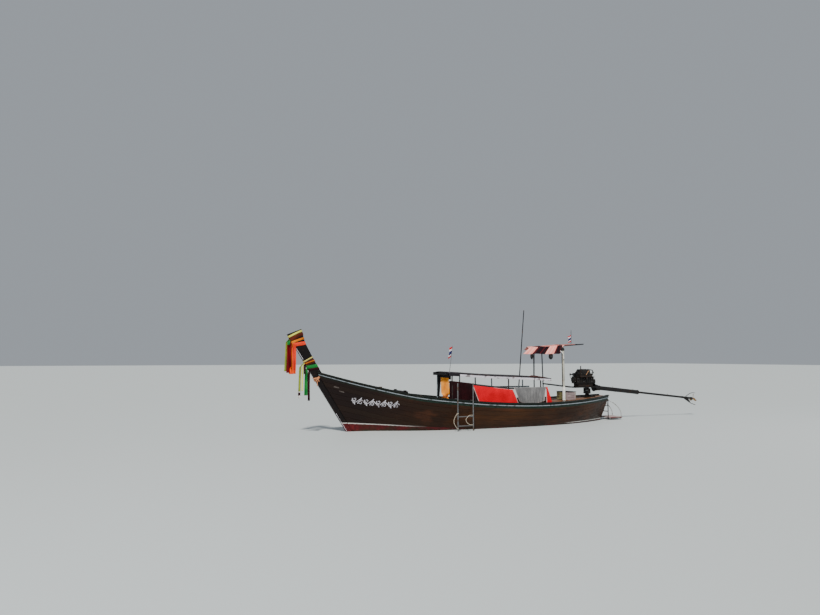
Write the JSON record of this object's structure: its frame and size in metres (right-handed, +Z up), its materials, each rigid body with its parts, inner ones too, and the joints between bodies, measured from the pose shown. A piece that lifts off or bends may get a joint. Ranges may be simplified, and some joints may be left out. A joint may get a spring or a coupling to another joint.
{
  "type": "longtail boat",
  "caption": "Open wooden longtail boat with a raked prow post, low canopy, stern awning and a swivelling engine that drives a long propeller shaft.",
  "frame": {"origin": "on the centreline at the water surface, halfway along the waterline", "axes": "+X to the bow, +Y to port, +Z up"},
  "size_m": [14.35, 2.2644, 3.9763],
  "materials": {
    "hull_planks": "varnished dark planks with painted bottom",
    "black_trim": "black gloss paint, worn",
    "pale_trim": "pale grey-green paint, weathered",
    "frames_wood": "dark oiled timber",
    "deck_boards": "worn brown boards",
    "roof_board": "dark painted boards",
    "white_trim": "white paint, weathered",
    "canopy_wood": "dark painted timber",
    "steel_tube": "dull galvanised",
    "mast_wood": "dark painted pole",
    "red_cloth": "red woven cloth",
    "grey_cloth": "grey woven cloth",
    "maroon_cloth": "dark maroon cloth",
    "black_cloth": "black tarpaulin",
    "yellow_cloth": "yellow-orange cloth",
    "stripe_cloth": "striped awning cloth",
    "flag_cloth": "striped flag cloth",
    "ribbon_cloth": "satin ribbons in several colours",
    "crate_board": "weathered painted boards",
    "engine_metal": "black paint, oily and rusty",
    "tail_metal": "black painted tube, worn",
    "steering_steel": "black painted steel, worn",
    "propeller_bronze": "dull bronze"
  },
  "bodies": {
    "root": {"bottom_strake_port": "hull_planks", "bilge_strake_port": "hull_planks", "side_strake_port": "hull_planks", "sheer_strake_port": "hull_planks", "rub_rail_port": "pale_trim", "gunwale_cap_port": "black_trim", "ribs_port": "frames_wood", "canopy_edge_port": "white_trim", "bottom_strake_starboard": "hull_planks", "bilge_strake_starboard": "hull_planks", "side_strake_starboard": "hull_planks", "sheer_strake_starboard": "hull_planks", "rub_rail_starboard": "pale_trim", "gunwale_cap_starboard": "black_trim", "ribs_starboard": "frames_wood", "canopy_edge_starboard": "white_trim", "keel": "hull_planks", "prow_post": "black_trim", "transom": "hull_planks", "floorboards": "deck_boards", "foredeck": "frames_wood", "aft_deck": "deck_boards", "thwart_1": "deck_boards", "thwart_2": "deck_boards", "thwart_3": "deck_boards", "thwart_4": "deck_boards", "bitt_beam": "black_trim", "bow_bitt": "frames_wood", "canopy_roof": "roof_board", "canopy_frame": "canopy_wood", "maroon_side_curtain": "maroon_cloth", "red_cloth": "red_cloth", "grey_cloth": "grey_cloth", "small_red_cloth": "red_cloth", "front_curtain": "black_cloth", "yellow_cloth": "yellow_cloth", "rolled_tarp": "black_cloth", "fore_flag_staff": "steel_tube", "fore_flag": "flag_cloth", "mast": "mast_wood", "boarding_ladder": "steel_tube", "platform_frame": "steel_tube", "platform_board": "deck_boards", "crate": "crate_board", "awning_frame": "steel_tube", "awning_cloth": "stripe_cloth", "aft_flag_staff": "mast_wood", "aft_flag": "flag_cloth", "head_ribbons": "ribbon_cloth", "neck_ribbons": "ribbon_cloth", "engine_post": "steering_steel"},
    "swivel": {"swivel_yoke": "steering_steel"},
    "motor": {"engine_cradle": "steering_steel", "engine_block": "engine_metal", "exhaust": "engine_metal", "air_cleaner": "engine_metal", "tiller": "steering_steel", "tail_housing": "tail_metal"},
    "propeller": {"propeller": "propeller_bronze"}
  },
  "joints": [
    {"name": "steer", "type": "hinge", "parent": "root", "child": "swivel", "pos_m": [-3.82, 0, 0.85], "axis": [0, 0, 1], "range_deg": [-24, 24]},
    {"name": "tilt", "type": "hinge", "parent": "swivel", "child": "motor", "pos_m": [-3.82, 0, 0.98], "axis": [0, 1, 0], "range_deg": [-8, 5]},
    {"name": "propeller_spin", "type": "hinge", "parent": "motor", "child": "propeller", "pos_m": [-8.36, 0, 0.57468], "axis": [0.9942, 0, 0.1074], "continuous": true}
  ]
}
